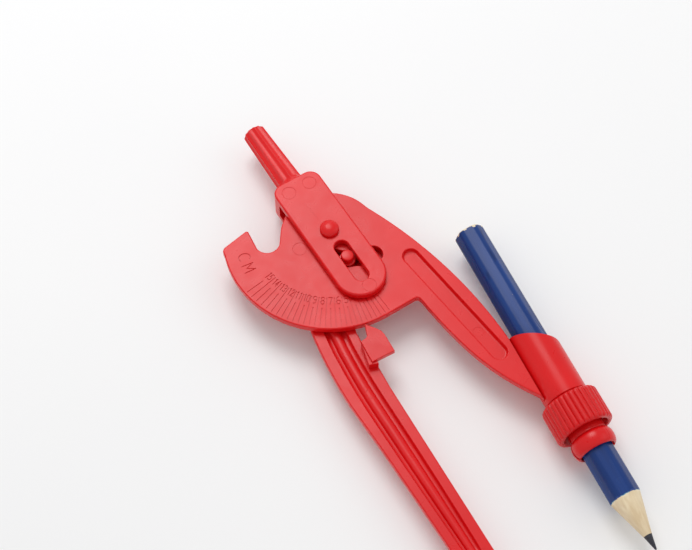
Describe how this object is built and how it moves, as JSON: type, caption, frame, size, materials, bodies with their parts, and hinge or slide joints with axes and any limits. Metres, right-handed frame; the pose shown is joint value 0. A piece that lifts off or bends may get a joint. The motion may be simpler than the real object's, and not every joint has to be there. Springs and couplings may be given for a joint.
{
  "type": "drawing compass",
  "caption": "School drawing compass with two slotted plastic legs, a self-centring grip, an opening scale and a pencil in a screw-clamped holder.",
  "frame": {"origin": "centre of the flat rear face of the pivot rivet, on the axis that both legs turn about", "axes": "+Z out of the scale face along the pivot axis, +Y from the pivot along the yoke to the grip, +X towards the pencil leg"},
  "size_m": [0.0625, 0.1498, 0.0148],
  "materials": {
    "red_plastic": "injection moulded, semi-gloss",
    "blue_lacquer": "lacquered wood, glossy",
    "graphite": "graphite and clay rod, satin"
  },
  "bodies": {
    "head": {"yoke": "red_plastic", "pivot_rivet": "red_plastic"},
    "pencil_leg": {"pencil_leg": "red_plastic"},
    "point_leg": {"point_leg": "red_plastic"},
    "guide_pin": {"guide_pin": "red_plastic"},
    "clamp_nut": {"clamp_nut": "red_plastic"},
    "pencil": {"pencil_slat_upper": "blue_lacquer", "pencil_slat_lower": "blue_lacquer", "pencil_lead": "graphite"}
  },
  "joints": [
    {"name": "pencil_leg_hinge", "type": "hinge", "parent": "head", "child": "pencil_leg", "pos_m": [0, 0, 0.00575], "axis": [0, 0, 1], "range_deg": [-8.5, 34.5]},
    {"name": "point_leg_hinge", "type": "hinge", "parent": "head", "child": "point_leg", "pos_m": [0, 0, 0.00575], "axis": [0, 0, 1], "range_deg": [-34.5, 8.5]},
    {"name": "guide_pin_slide", "type": "slide", "parent": "head", "child": "guide_pin", "axis": [0, 1, 0], "range_m": [-0.00066, 0.0026]},
    {"name": "clamp_nut_turn", "type": "hinge", "parent": "pencil_leg", "child": "clamp_nut", "pos_m": [0.03295, -0.00405, 0.00575], "axis": [-0.1219, -0.9925, 0], "range_deg": [-360, 0]},
    {"name": "pencil_slide", "type": "slide", "parent": "pencil_leg", "child": "pencil", "axis": [-0.1219, -0.9925, 0], "range_m": [-0.015, 0.015]}
  ],
  "couplings": [
    {"joint": "point_leg_hinge", "follows": "pencil_leg_hinge", "ratio": -1},
    {"joint": "guide_pin_slide", "follows": "pencil_leg_hinge", "m_per_rad": 0.0042972}
  ]
}
